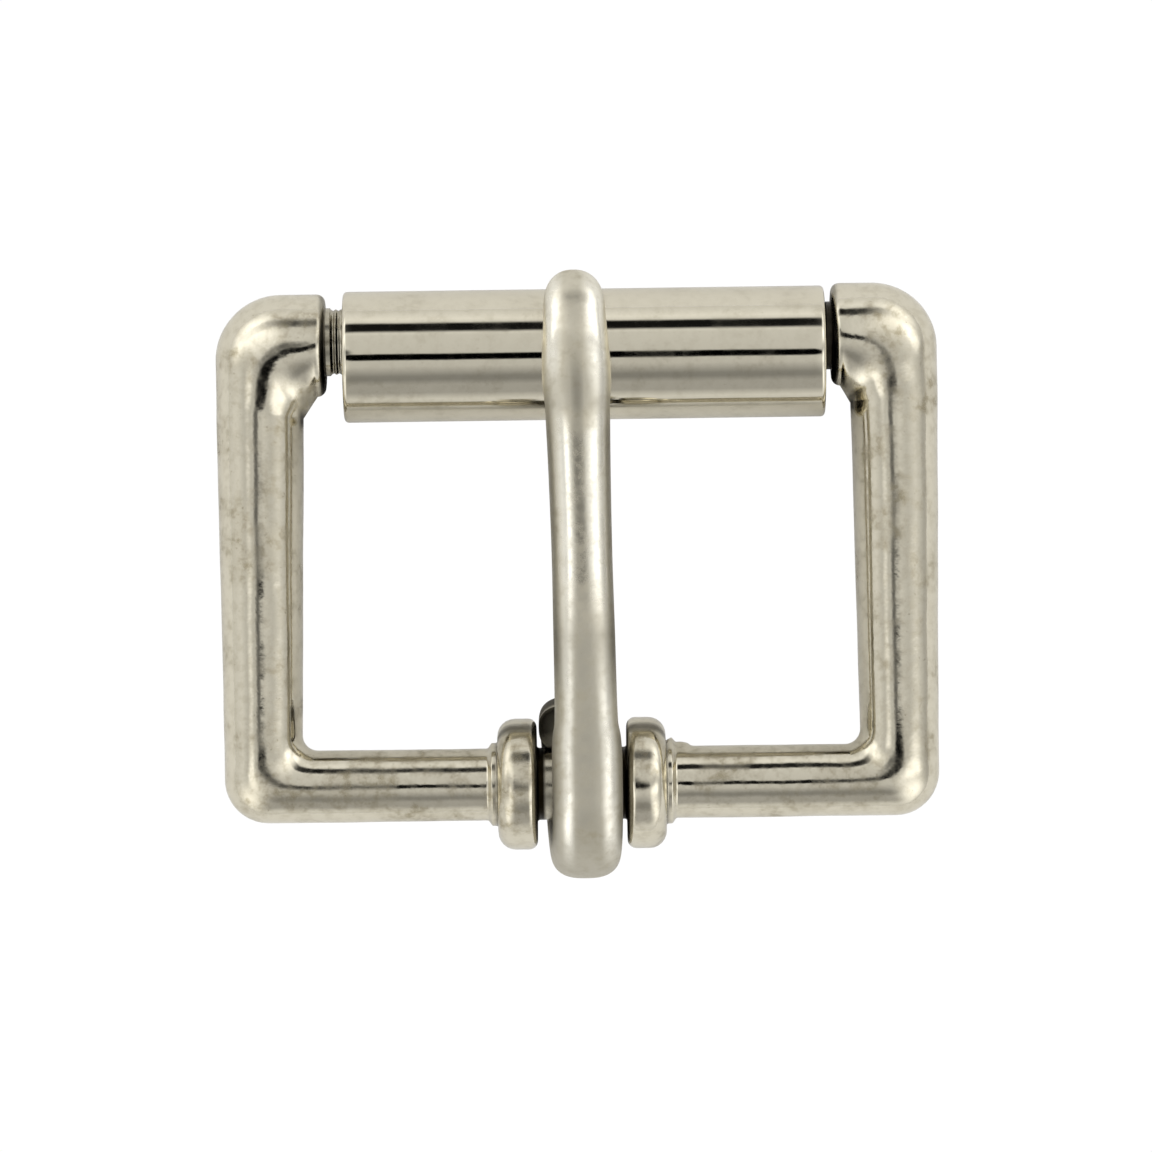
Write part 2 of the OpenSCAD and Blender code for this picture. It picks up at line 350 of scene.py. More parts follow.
# %% [markdown]
# ## The heel bar and its stops
#
# The strap folds round this bar. Two discs cast on it keep the tongue's loop in the middle,
# each with a low foot on its outer side. They are changes of radius along the bar, so one
# outline is drawn with round corners and turned. A Screw modifier could turn it too, but the
# rings have to match the corners' rings point for point.

# %% Rounded outline
def rounded(corners, arc_points=7):
    """An open outline whose corners, given as x, y and radius, are turned into arcs."""
    outline = [Vector(corners[0][:2])]
    for before, corner, after in zip(corners, corners[1:], corners[2:]):
        point = Vector(corner[:2])
        to_before = Vector(before[:2]) - point
        to_after = Vector(after[:2]) - point
        half = to_before.angle(to_after) / 2
        to_middle = (to_before.normalized() + to_after.normalized()).normalized()
        centre = point + to_middle * corner[2] / sin(half)
        start = point + to_before.normalized() * corner[2] * cos(half) / sin(half) - centre
        end = point + to_after.normalized() * corner[2] * cos(half) / sin(half) - centre
        turn = start.angle_signed(end)
        for i in range(arc_points):
            outline.append(centre + Matrix.Rotation(-turn * i / (arc_points - 1), 2) @ start)
    outline.append(Vector(corners[-1][:2]))
    return outline


print("one rounded corner has", len(rounded([(0, 0, 0), (1, 0, 0.2), (1, 1, 0)])), "points")

# %% Heel bar outline
STOP_GAP = 4.1 * MM
STOP_W = 1.8 * MM
STOP_R = 3.0 * MM
STOP_ROUND = 0.8 * MM
STOP_EDGE_R = 0.4 * MM
STOP_ROOT_R = 0.12 * MM
STOP_FOOT_R = 1.9 * MM
STOP_FOOT_W = 0.45 * MM
FOOT_FLAT_W = 0.6 * STOP_FOOT_W
FOOT_CORNER_R = 0.1 * MM
FOOT_EDGE_R = 0.08 * MM
STOP_INNER = STOP_GAP / 2
STOP_OUTER = STOP_INNER + STOP_W
PLAIN_RINGS = 62
MIDDLE_RINGS = 14


def heel_outline():
    """Radius of the heel bar along one half of it, from the middle outwards."""
    return rounded([
        (0, HEEL_R, 0),
        (STOP_INNER, HEEL_R, STOP_ROOT_R),
        (STOP_INNER, STOP_R, STOP_EDGE_R),
        (STOP_OUTER, STOP_R, STOP_ROUND),
        (STOP_OUTER, STOP_FOOT_R, FOOT_CORNER_R),
        (STOP_OUTER + FOOT_FLAT_W, STOP_FOOT_R, FOOT_EDGE_R),
        (STOP_OUTER + STOP_FOOT_W, HEEL_R, STOP_ROOT_R),
        (HEEL_PIVOT[0], HEEL_R, 0),
    ])


def bar_ring(x, radius):
    return np.stack([np.full(RING_N, x), -radius * np.cos(TURNS), radius * np.sin(TURNS)], -1)


def heel_half():
    """Rings of half the heel bar, with plain stretches on both sides of its stop."""
    outline = heel_outline()
    middle = np.linspace(0, outline[1].x, MIDDLE_RINGS)[:-1]
    plain = np.linspace(outline[-2].x, HEEL_PIVOT[0], PLAIN_RINGS)[1:-1]
    stop = [bar_ring(point.x, point.y) for point in outline[1:-1]]
    return [bar_ring(x, HEEL_R) for x in middle] + stop + [bar_ring(x, HEEL_R) for x in plain]


print("half the heel bar has", len(heel_half()), "rings")

# %% [markdown]
# ## A fin of flash
#
# Where a mould closes, a thin fin of metal can be left, and one shows on the front side of
# the heel bar, beside the right stop. Sculpting could raise it, but moving the points that
# face forwards, on a few rings, is enough and stays exact.

# %% Flash on the heel bar
FLASH_FROM = 3.9 * MM
FLASH_TO = 5.0 * MM
FLASH_H = 0.2 * MM
FLASH_NARROW = 14


def add_flash(rings):
    """Raises the front side of the rings between two distances from the middle."""
    front = np.maximum(-np.cos(TURNS), 0) ** FLASH_NARROW
    for ring in rings:
        share = (ring[0, 0] - FLASH_FROM) / (FLASH_TO - FLASH_FROM)
        if 0 < share < 1:
            ring[:, 1] += FLASH_H * front * sin(pi * share) ** 0.5
    return rings


print(f"the fin is {(FLASH_TO - FLASH_FROM) / MM:.1f} mm long")

# %% [markdown]
# ## One skin round the whole frame
#
# The rings run from the face of the left lug down its side bar, along the heel bar and up to
# the right lug. Each side is made to the right of the middle, and the left one gets the
# opposite x. That turns its rings round, so the loft turns all faces outwards at the end.

# %% Frame casting mesh
SIDE_RINGS = 56


def side_rings(side):
    """One side of the frame, from the middle of the heel bar to the face of its lug."""
    corner = heel_corner()
    front = front_corner(side)
    heel = add_flash(heel_half()) if side == RIGHT else heel_half()
    rings = heel + corner + between(corner[-1], front[0], SIDE_RINGS) + front + lug_end(side)
    return [ring * (side, 1, 1) for ring in rings]


casting = loft("frame_casting", side_rings(LEFT)[:0:-1] + side_rings(RIGHT))
casting.data.transform(LAY_DOWN)
print("frame casting:", len(casting.data.vertices), "points")

# %% [markdown]
# ## Pieces that follow a rule
#
# The front bar's turned ridges and the roller's rolled sheet each follow a rule. That suits
# Geometry Nodes: a curve, a section that follows it, and sizes as named inputs, which can be
# changed later without touching a point. These helpers start a tree, end it, and run it once
# to keep a plain mesh, which is what an export needs.

# %% Geometry Nodes helpers
def new_geometry_tree(name, sizes):
    """A node tree with a geometry output and a named input for each size or count."""
    group = bpy.data.node_groups.new(name, "GeometryNodeTree")
    group.interface.new_socket("Geometry", in_out="OUTPUT", socket_type="NodeSocketGeometry")
    for label, size in sizes.items():
        kind = "NodeSocketInt" if isinstance(size, int) else "NodeSocketFloat"
        group.interface.new_socket(label, in_out="INPUT", socket_type=kind)
    tree = Tree(group)
    source = tree.node("NodeGroupInput")
    return tree, {label: Term(tree, source.outputs[label]) for label in sizes}


def finish_geometry(tree, mesh, material):
    """Ends a tree: smooth faces, real geometry and a material."""
    smooth = tree.add("GeometryNodeSetShadeSmooth", {}, {"Geometry": mesh})
    real = tree.add("GeometryNodeRealizeInstances", {}, {"Geometry": smooth})
    dressed = tree.add("GeometryNodeSetMaterial", {}, {"Geometry": real, "Material": material})
    tree.node("NodeGroupOutput", {}, {"Geometry": dressed})


def grow(name, tree, sizes):
    """Runs a geometry tree on an empty mesh and keeps the result as a plain object."""
    seed = placed(name + "_seed", bpy.data.meshes.new(name + "_seed"))
    modifier = seed.modifiers.new("grow", "NODES")
    modifier.node_group = tree.tree
    for socket in tree.tree.interface.items_tree:
        if socket.in_out == "INPUT":
            modifier[socket.identifier] = sizes[socket.name]
    mesh = frozen(seed)
    bpy.data.objects.remove(seed)
    mesh.name = name
    return placed(name, mesh)


def frozen(thing):
    """The mesh that an object's modifiers give, after which they are removed."""
    bpy.context.view_layer.update()
    mesh = bpy.data.meshes.new_from_object(thing.evaluated_get(bpy.context.evaluated_depsgraph_get()))
    thing.modifiers.clear()
    return mesh


print("a tree needs:", new_geometry_tree.__name__, finish_geometry.__name__, grow.__name__)

# %% [markdown]
# ## Nickel plate
#
# All three pieces are plated with the same bright nickel, a warm, slightly yellow white. What
# tells them apart is the metal under it. A casting keeps a faint orange peel and pits, a
# rolled sheet is the smoothest, and a tumbled, bent bar is satin in places. So one function
# plates them all, and its numbers set how far the surface waves, how fine its grain is and
# how much its gloss varies. Three painted attributes say where shade and dark reflections are
# painted in near black (`recess`), where the metal was left matt (`satin`), and where it is
# smoother and painted with bright highlights, partly from real wear by the strap (`polish`).

# %% Nickel colours and patches
NICKEL = (0.70, 0.655, 0.53, 1)
NICKEL_DULL = (0.40, 0.355, 0.25, 1)
NICKEL_POLISH_HIGHLIGHT = (0.98, 0.95, 0.84, 1)
NICKEL_SATIN = (0.50, 0.47, 0.385, 1)
PAINTED_SHADE_BLACK = (0.016, 0.012, 0.006, 1)

BLOTCH_SIZE, BLOTCH_RANGE, BLOTCH_DULL = 2.2 * MM, (0.47, 0.66), 0.35
MOTTLE_SIZE, MOTTLE_RANGE, MOTTLE_DULL = 0.5 * MM, (0.42, 0.70), 0.35
PIT_SIZE, PIT_RANGE, PIT_DULL = 0.19 * MM, (0.70, 0.76), 0.6
BOTH_DULL = 0.5
MOTTLE_HAZE = 0.6
MOTTLE_ON_HIGHLIGHT = 0.35
SATIN_ROUGH = 0.28
SATIN_GRAIN = 2.5
SATIN_FADE = 3
PAINTED_SHADE_ROUGH = 0.3
print(f"patches of {BLOTCH_SIZE / MM:.1f}, {MOTTLE_SIZE / MM:.1f} and {PIT_SIZE / MM:.2f} mm")

# %% Plating
def nickel(name, gloss, haze, wave, wave_size, grain, grain_size, stain):
    """Nickel plate. Gloss is its least roughness and haze is what patches add to it. Wave and
    grain are the heights of its slow and its fine unevenness, and stain is how dull it gets."""
    material = bpy.data.materials.new(name)
    tree = emptied(material)
    place = tree.add("ShaderNodeTexCoord", output=3)

    def cloud(size, detail, roughness=0.5):
        sockets = {"Vector": place, "Scale": 1 / size, "Detail": detail, "Roughness": roughness}
        return tree.add("ShaderNodeTexNoise", {}, sockets)

    def painted(attribute):
        return tree.add("ShaderNodeAttribute", {"attribute_name": attribute}, output=2)

    def tinted(share, under, over):
        sockets = {"Factor": share, "A": under, "B": over}
        return tree.add("ShaderNodeMix", {"data_type": "RGBA"}, sockets, output=2)

    recess, satin, polish = painted("recess"), painted("satin"), painted("polish")
    blotches = tree.soft_step(cloud(BLOTCH_SIZE, 3), *BLOTCH_RANGE)
    mottle = tree.soft_step(cloud(MOTTLE_SIZE, 4, 0.6), *MOTTLE_RANGE)
    pits = tree.soft_step(cloud(PIT_SIZE, 2), *PIT_RANGE)
    dull = (blotches * BLOTCH_DULL + mottle * MOTTLE_DULL + blotches * mottle * BOTH_DULL
            + pits * PIT_DULL) * stain
    plated = tinted(dull, tinted(satin ** SATIN_FADE, NICKEL, NICKEL_SATIN), NICKEL_DULL)
    # the polish attribute lifts the colour towards a painted highlight, brighter than nickel reflects, and
    # also lowers roughness where the strap wears the metal
    polished = tinted(polish * (1 - mottle * MOTTLE_ON_HIGHLIGHT), plated, NICKEL_POLISH_HIGHLIGHT)
    unrubbed = satin * (1 - polish)
    roughness = gloss + blotches * haze + mottle * haze * MOTTLE_HAZE \
        + unrubbed * SATIN_ROUGH + recess * PAINTED_SHADE_ROUGH
    pores = cloud(grain_size, 3, 0.55) * (1 + unrubbed * SATIN_GRAIN)
    rolling = tree.add("ShaderNodeBump", {}, {
        "Strength": 1.0, "Distance": wave, "Height": cloud(wave_size, 1)})
    surface = tree.add("ShaderNodeBump", {}, {
        "Strength": 1.0, "Distance": grain, "Height": pores, "Normal": rolling})
    # the recess attribute mixes near-black painted shade and dark reflections into the colour
    shader = tree.add("ShaderNodeBsdfPrincipled", {}, {
        "Base Color": tinted(recess, polished, PAINTED_SHADE_BLACK), "Metallic": 1.0, "Roughness": roughness,
        "Normal": surface})
    tree.node("ShaderNodeOutputMaterial", {}, {"Surface": shader})
    return material


cast_nickel = nickel("nickel_on_casting", gloss=0.08, haze=0.13, wave=0.014 * MM, wave_size=1.1 * MM,
                     grain=0.0034 * MM, grain_size=0.26 * MM, stain=0.85)
sheet_nickel = nickel("nickel_on_sheet", gloss=0.05, haze=0.05, wave=0.006 * MM, wave_size=2.0 * MM,
                      grain=0.0004 * MM, grain_size=0.2 * MM, stain=0.3)
forged_nickel = nickel("nickel_on_bent_bar", gloss=0.14, haze=0.12, wave=0.007 * MM,
                       wave_size=1.4 * MM, grain=0.002 * MM, grain_size=0.2 * MM, stain=0.5)
print("materials:", [m.name for m in bpy.data.materials])

# %% [markdown]
# ## The front bar, a turned rod
#
# The roller hides the bar between the lugs but for a slot at each end, where turned ridges
# show. Its radius steps up at the feet and ripples beside them. Here that is a straight
# curve, a round section, and a scale worked out from the distance along the bar. Modelling
# each ridge by hand would take longer and be harder to change.

# %% Front bar by rule
AXLE_R = 1.5 * MM
AXLE_FOOT_W = 0.25 * MM
AXLE_FOOT_H = 0.06 * MM
RIDGE_PITCH = 0.24 * MM
RIDGE_COUNT = 2
RIDGE_DEPTH = 0.06 * MM
BAR_POINTS = 801
BAR_SIDES = 64


def front_bar_tree(sizes):
    """A rod with a foot at each end and turned ridges beside it."""
    tree, size = new_geometry_tree("turned_front_bar", sizes)
    end = tree.add("ShaderNodeCombineXYZ", {}, {"X": size["Half length"]})
    start = tree.add("ShaderNodeCombineXYZ", {}, {"X": 0 - size["Half length"]})
    line = tree.add("GeometryNodeCurvePrimitiveLine", {}, {"Start": start, "End": end})
    fine = tree.add("GeometryNodeResampleCurve", {}, {"Curve": line, "Count": BAR_POINTS})
    position = tree.add("GeometryNodeInputPosition")
    along = tree.add("ShaderNodeSeparateXYZ", {}, {"Vector": position}).maths("ABSOLUTE")
    inwards = size["Half length"] - size["Foot length"] - along
    foot = (0 - inwards).maths("GREATER_THAN", 0)
    ripple = (1 - (inwards / size["Ridge pitch"] * (2 * pi)).maths("COSINE")) * 0.5
    ridged = inwards.maths("GREATER_THAN", 0) * \
        (size["Ridge pitch"] * size["Ridge count"] - inwards).maths("GREATER_THAN", 0)
    radius = size["Radius"] + foot * size["Foot height"] - ridged * ripple * size["Ridge depth"]
    round_section = tree.add("GeometryNodeCurvePrimitiveCircle", {}, {
        "Resolution": BAR_SIDES, "Radius": 1.0})
    rod = tree.add("GeometryNodeCurveToMesh", {}, {
        "Curve": fine, "Profile Curve": round_section, "Scale": radius, "Fill Caps": True})
    finish_geometry(tree, rod, cast_nickel)
    return tree


bar_sizes = {
    "Half length": LUG_FACE_X + LUG_ROUND, "Radius": AXLE_R, "Foot length": LUG_ROUND + AXLE_FOOT_W,
    "Foot height": AXLE_FOOT_H, "Ridge pitch": RIDGE_PITCH, "Ridge depth": RIDGE_DEPTH,
    "Ridge count": RIDGE_COUNT}
front_bar = grow("front_bar", front_bar_tree(bar_sizes), bar_sizes)
front_bar.data.transform(LAY_DOWN @ Matrix.Translation((LUG_SHIFT, BAR_PITCH, 0)))
print("front bar:", len(front_bar.data.vertices), "points")

# %% [markdown]
# ## Joining the bar to the casting
#
# On the real buckle the front bar and the lugs are one metal. A union of the two closed
# skins leaves one skin with a crisp line round each foot and nothing hidden inside.

# %% Union of casting and bar
def unite(thing, tool):
    """Joins a closed skin to another and keeps one object."""
    union = thing.modifiers.new("union", "BOOLEAN")
    union.operation = "UNION"
    union.solver = "EXACT"
    union.object = tool
    thing.data = frozen(thing)
    bpy.data.objects.remove(tool)
    thing.data.shade_smooth()


unite(casting, front_bar)
print("casting with its bar:", len(casting.data.vertices), "points")

# %% [markdown]
# ## A worn mould
#
# Castings aren't quite even, and the highlights on them waver. Moving each point along its
# normal by a soft noise gives that. A bump in the material could too, but it wouldn't move
# the outline. The two stretches that the loop and the roller turn on stay true.

# %% Wear and shading
WEAR_DEPTH = 0.022 * MM
WEAR_SIZE = 2.4 * MM
LOOP_ROOM = 2.3 * MM
SHARP_ANGLE = 35
SHARP_ON_TONGUE = 50


def wear(mesh, depth, size):
    """Moves the points outside the two bearings by a noise, as a worn mould leaves them."""
    normals = [vertex.normal.copy() for vertex in mesh.vertices]
    for vertex, normal in zip(mesh.vertices, normals):
        across = abs(vertex.co.x)
        if across > (LOOP_ROOM if vertex.co.y < 0 else LUG_FACE_X + LUG_SHIFT):
            vertex.co += normal * depth * noise.noise(vertex.co / size)


def shade(thing, material, sharp_angle=SHARP_ANGLE):
    """One material, and smooth shading but for edges sharper than an angle."""
    thing.data.materials.clear()
    thing.data.materials.append(material)
    thing.data.set_sharp_from_angle(angle=radians(sharp_angle))


wear(casting.data, WEAR_DEPTH, WEAR_SIZE)
shade(casting, cast_nickel)
print("casting:", sum(len(face.vertices) - 2 for face in casting.data.polygons), "triangles")

# %% [markdown]
# ## Shade and highlights, painted onto points
#
# Shade is painted where parts meet and into hollows, and bright highlights where leather
# rubs the metal. An image could hold such marks, but a share stored at each point needs no
# image and no unwrapping. Each is worked out from the point's place and the way it faces,
# with soft steps for edges, because a hard edge would show the mesh's own facets.

# %% Paint helpers
def paint(thing, attribute, share_at):
    """Stores a share from 0 to 1 at every point, worked out from its place and normal."""
    mesh = thing.data
    layer = mesh.attributes.new(attribute, "FLOAT", "POINT")
    shares = np.clip([share_at(vertex.co, vertex.normal) for vertex in mesh.vertices], 0, 1)
    layer.data.foreach_set("value", shares)
    print(f"{thing.name}: {attribute} on {(shares > 0).mean():.0%} of its points")


def bump_share(value, middle, half):
    """1 at the middle, falling softly to 0 at half the width on either side."""
    return max(0, 1 - ((value - middle) / half) ** 2)


def step_share(value, low, high):
    """0 up to low, 1 from high on, and an even rise between them."""
    return min(1, max(0, (value - low) / (high - low)))


print("a soft step half way:", step_share(0.5, 0, 1))

# %% [markdown]
# ## Painted shade on the casting
#
# Shade is painted on the frame in the gap for the tongue's loop, as a line round each stop's
# foot and on the lugs' faces with the bar beside them. Dark reflections are painted in an arc
# over each stop and along the inner edges of the side bars, with painted shade darkest in the
# nick below each lug's slope. Places are measured in the frame's own plane, so each point is
# turned back flat first.

# %% Painted shade round the stops
NEAR_STOP = 1.1 * STOP_R
EDGE_SOFT = 0.1 * MM
GAP_DARK = 0.35
GAP_LINE_FROM, GAP_LINE_TO = STOP_INNER - 0.40 * MM, STOP_INNER + 0.12 * MM
GAP_LINE_SOFT = 0.12 * MM
CROWN_AT, CROWN_HALF = radians(58), radians(9)
CROWN_TO = STOP_OUTER + 0.05 * MM
CROWN_TOP_SOFT = 0.2 * MM
CROWN_DARK = 0.75
FOOT_LINE_HALF = 0.13 * MM
FOOT_LINE_R = STOP_FOOT_R + 0.15 * MM
FOOT_DARK = 0.6


def stop_painted_shade(place, across, from_heel):
    """Painted shade in the gap for the loop and along each stop's foot, and a painted dark reflection on
    its crown.
    """
    line = step_share(GAP_LINE_TO - across, 0, EDGE_SOFT) * step_share(
        across - GAP_LINE_FROM, 0, GAP_LINE_SOFT)
    arc = bump_share(atan2(place.y, abs(place.z)), CROWN_AT, CROWN_HALF) * step_share(
        place.z, 0, CROWN_TOP_SOFT)
    crown = arc * step_share(CROWN_TO - across, 0, EDGE_SOFT) * (from_heel > STOP_FOOT_R)
    foot = bump_share(across, STOP_OUTER, FOOT_LINE_HALF) * (from_heel < FOOT_LINE_R)
    return max(line, GAP_DARK * (across < STOP_INNER), CROWN_DARK * crown, FOOT_DARK * foot)


print(f"the gap between the stops is {STOP_GAP / MM:.1f} mm")

# %% Painted shade and dark reflections on the lugs and side bars
INNER_EDGE_X = SIDE_X - SIDE_R_FRONT
FACE_DARK_ROUND = 0.7 * LUG_ROUND
FACE_SOFT = 0.12 * MM
FACE_PAST = 0.03 * MM
FACE_FADE = 1.2 * MM
FACE_DARK, FACE_DARKER = 0.55, 0.45
BESIDE_LUG_DARK = {LEFT: 0.25, RIGHT: 0.95}
INNER_EDGE_W, INNER_EDGE_SOFT, INNER_EDGE_DARK = 0.45 * MM, 0.4 * MM, 0.3
NICK_W, NICK_SOFT = 0.28 * MM, 0.2 * MM
NICK_BELOW, NICK_HALF = 0.15 * MM, 0.55 * MM


def lug_painted_shade(place, across):
    """Painted shade on the lugs' faces, on the bar beside them and in their nicks, and painted dark
    reflections on inner edges.
    """
    side = RIGHT if place.x > 0 else LEFT
    slope_end = front_pivot(side)[1]
    inwards = face_x(side) - across
    on_face = step_share(FACE_DARK_ROUND + inwards, 0, FACE_SOFT) * (inwards < FACE_PAST)
    face_dark = FACE_DARK + FACE_DARKER * step_share(LUG_Y + FACE_FADE / 2 - place.y, 0, FACE_FADE)
    on_bar = (inwards > 0) * BESIDE_LUG_DARK[side] * (place.y > BAR_PITCH / 2)
    nick = bump_share(place.y, slope_end - NICK_BELOW, NICK_HALF) * step_share(
        INNER_EDGE_X + NICK_W - across, 0, NICK_SOFT)
    on_edge = step_share(INNER_EDGE_X + INNER_EDGE_W - across, 0, INNER_EDGE_SOFT) * (
        HEEL_PIVOT[1] < place.y < slope_end)
    return max(on_face * face_dark, on_bar, nick, on_edge * INNER_EDGE_DARK)


print(f"the side bars' inner edges are at {INNER_EDGE_X / MM:.2f} mm")

# %% Paint on the casting
FLAT_AGAIN = LAY_DOWN.inverted()
SLOPE_BELOW, SLOPE_HALF, SLOPE_W = 0.3 * MM, 0.9 * MM, 0.5 * MM


def casting_painted_shade(point, normal):
    """Painted shade near the heel bar's axis by the stops' rules, and elsewhere by the lugs' rules."""
    place = FLAT_AGAIN @ point
    across = abs(place.x)
    from_heel = (place.y ** 2 + place.z ** 2) ** 0.5
    return stop_painted_shade(place, across, from_heel) if from_heel < NEAR_STOP else lug_painted_shade(place, across)


def casting_satin(point, normal):
    """Matt on the slope behind each lug, which no polishing wheel reaches."""
    place = FLAT_AGAIN @ point
    side = RIGHT if place.x > 0 else LEFT
    slope = bump_share(place.y, middle_y(side) - LUG_H / 2 - SLOPE_BELOW, SLOPE_HALF)
    return slope * step_share(INNER_EDGE_X + SLOPE_W - abs(place.x), 0, SLOPE_W)


paint(casting, "recess", casting_painted_shade)
paint(casting, "satin", casting_satin)

# %% [markdown]
# ## The roller, rolled from sheet
#
# The roller is a strip of sheet bent round until its edges nearly meet, which leaves an open
# seam. Geometry Nodes can say just that: the strip's section, a long rectangle with rounded
# corners, follows an arc that stops short of a full circle. A tube would have no real seam,
# with the thickness of the sheet to be seen in it.

# %% Rolled sheet by rule
ROLLER_R = 3.0 * MM
SHEET_T = 0.5 * MM
ROLLER_END_GAP = 0.6 * MM
ROLLER_L = 2 * (LUG_FACE_X - ROLLER_END_GAP)
ROLLER_SLIDE = 0.25 * MM
ROLLER_ROUND = 0.2 * MM
SEAM_W = 0.12 * MM
SEAM_ANGLE = radians(50)
BEND_POINTS = 257
RIM_POINTS = 6


def rolled_sheet_tree(sizes):
    """A strip bent round an arc, with rounded rims."""
    tree, size = new_geometry_tree("rolled_sheet", sizes)
    bend = tree.add("GeometryNodeCurveArc", {"mode": "RADIUS"}, {
        "Resolution": BEND_POINTS, "Radius": size["Middle radius"],
        "Start Angle": size["Open angle"] * 0.5, "Sweep Angle": 2 * pi - size["Open angle"]})
    strip = tree.add("GeometryNodeCurvePrimitiveQuadrilateral", {}, {
        "Width": size["Sheet"], "Height": size["Length"]})
    eased = tree.add("GeometryNodeFilletCurve", {"mode": "POLY"}, {
        "Curve": strip, "Count": RIM_POINTS, "Radius": size["Rim round"]})
    sheet = tree.add("GeometryNodeCurveToMesh", {}, {
        "Curve": bend, "Profile Curve": eased, "Fill Caps": True})
    finish_geometry(tree, sheet, sheet_nickel)
    return tree


sheet_sizes = {
    "Middle radius": ROLLER_R - SHEET_T / 2, "Sheet": SHEET_T, "Length": ROLLER_L,
    "Rim round": ROLLER_ROUND, "Open angle": SEAM_W / ROLLER_R}
sleeve = grow("roller_sleeve", rolled_sheet_tree(sheet_sizes), sheet_sizes)
print("roller in mm:", [round(v / MM, 2) for v in sleeve.dimensions])

# %% [markdown]
# ## The roller on its bar
#
# The bent strip's faces run unbroken from rim to rim, where paint would have no points to
# sit on, so the long edges are cut. Then the sleeve is turned to lie along the bar, with its
# seam low on the side of the heel bar, and moved a little to the right, where its play has
# let it slide.

# %% Roller in place
LENGTH_CUTS = 60
TO_BAR = Matrix.Rotation(QUARTER, 4, "Y")
SEAM_TURN = Matrix.Rotation(SEAM_ANGLE, 4, "X")
ROLLER_X = LUG_SHIFT + ROLLER_SLIDE
ON_BAR = Matrix.Translation((ROLLER_X, ROLLER_AXIS.y, ROLLER_R))


def cut_long_edges(mesh, shortest, cuts):
    """Cuts every edge that is longer than a length."""
    work = bmesh.new()
    work.from_mesh(mesh)
    long_edges = [edge for edge in work.edges if edge.calc_length() > shortest]
    bmesh.ops.subdivide_edges(work, edges=long_edges, cuts=cuts, use_grid_fill=True)
    work.to_mesh(mesh)
    work.free()
    return len(long_edges)


print("long edges cut:", cut_long_edges(sleeve.data, ROLLER_L / 2, LENGTH_CUTS))
outwards(sleeve.data)
sleeve.data.transform(ON_BAR @ SEAM_TURN @ TO_BAR)
shade(sleeve, sheet_nickel)

# %% Painted shade in the roller
SHADE_EDGE = 0.12 * MM
SHELL_BRIGHT = 0.03 * MM
SEAM_SHADE_AT, SEAM_SHADE_HALF, SEAM_DARK = SEAM_W / 4, SEAM_W * 1.3, 0.3


def sheet_painted_shade(point, normal):
    """Painted shade inside the roller and along its seam, and plain nickel on its rims."""
    forwards, up = ROLLER_AXIS.y - point.y, point.z - ROLLER_R
    from_axis = (forwards ** 2 + up ** 2) ** 0.5
    on_rim = abs(point.x - ROLLER_X) > ROLLER_L / 2 - ROLLER_ROUND
    shell = SHEET_T - SHADE_EDGE if on_rim else SHELL_BRIGHT
    from_seam = ROLLER_R * (atan2(forwards, up) - SEAM_ANGLE)
    return max(SEAM_DARK * bump_share(from_seam, SEAM_SHADE_AT, SEAM_SHADE_HALF),
               step_share(ROLLER_R - shell - from_axis, 0, SHADE_EDGE))


paint(sleeve, "recess", sheet_painted_shade)

# %% [markdown]
# ## The tongue, a bent bar
#
# The tongue starts as a straight bar. Its root is curled round the heel bar, its shank runs
# to the roller, and its nose is rounded over and bent down a little. The section is a soft
# rectangle in the loop and nearly an ellipse at the nose, which a superellipse gives with one
# number. A short table holds the shank's width, thickness and squareness, read off the
# photograph, and a smooth curve through its rows gives as many rings as the light needs.

# %% Tongue sizes
LOOP_R = HEEL_AXIS.z
LOOP_BORE_R = HEEL_R + 0.08 * MM
LOOP_INNER_R = 0.91 * LOOP_BORE_R
LOOP_W = 3.2 * MM
LOOP_SLIDE = 0.25 * MM
LOOP_SQUARE = 2.7
CURL_SHIFT = 0.6 * MM
CURL_END_R = 3.95 * MM
CURL_END = radians(380)
CURL_ROUND = 0.25 * MM
TONGUE_T = 2.4 * MM
TONGUE_REACH = 23.5 * MM
TONGUE_LEAN = 0.35 * MM
LEAN_POWER = 1.4
TONGUE_GAP = 0.1 * MM
BEAR_Z = 2 * ROLLER_R + TONGUE_GAP + TONGUE_T / 2 - LOOP_R
SHANK_START = 0.14
SHANK_LEVEL = 0.8
NOSE_START = 0.93
NOSE_SHAPE = 2.3
NOSE_DROP = 0.39
NOSE_DROP_START = 0.86
NOSE_DROP_POWER = 1.6

# place as a share of the reach, width as a share of LOOP_W, thickness as a share of
# TONGUE_T, squareness of the section
SHANK = np.array([
    (0.00, 1.00, 1.12, 2.7),
    (0.06, 1.00, 1.10, 2.7),
    (0.10, 0.97, 1.08, 2.7),
    (0.13, 0.90, 1.06, 2.7),
    (0.18, 0.885, 1.05, 2.6),
    (0.30, 0.875, 1.05, 2.5),
    (0.45, 0.86, 1.04, 2.3),
    (0.60, 0.88, 1.03, 2.2),
    (0.72, 0.915, 1.02, 2.2),
    (0.745, 0.925, 1.01, 2.2),
    (0.765, 0.955, 1.00, 2.3),
    (0.79, 0.98, 1.00, 2.3),
    (0.83, 0.965, 1.00, 2.3),
    (0.88, 0.915, 0.98, 2.3),
    (0.93, 0.87, 0.91, 2.3),
    (1.00, 0.85, 0.86, 2.1),
])
print(f"the shank lies {BEAR_Z / MM:.2f} mm above the heel bar's axis at the roller")

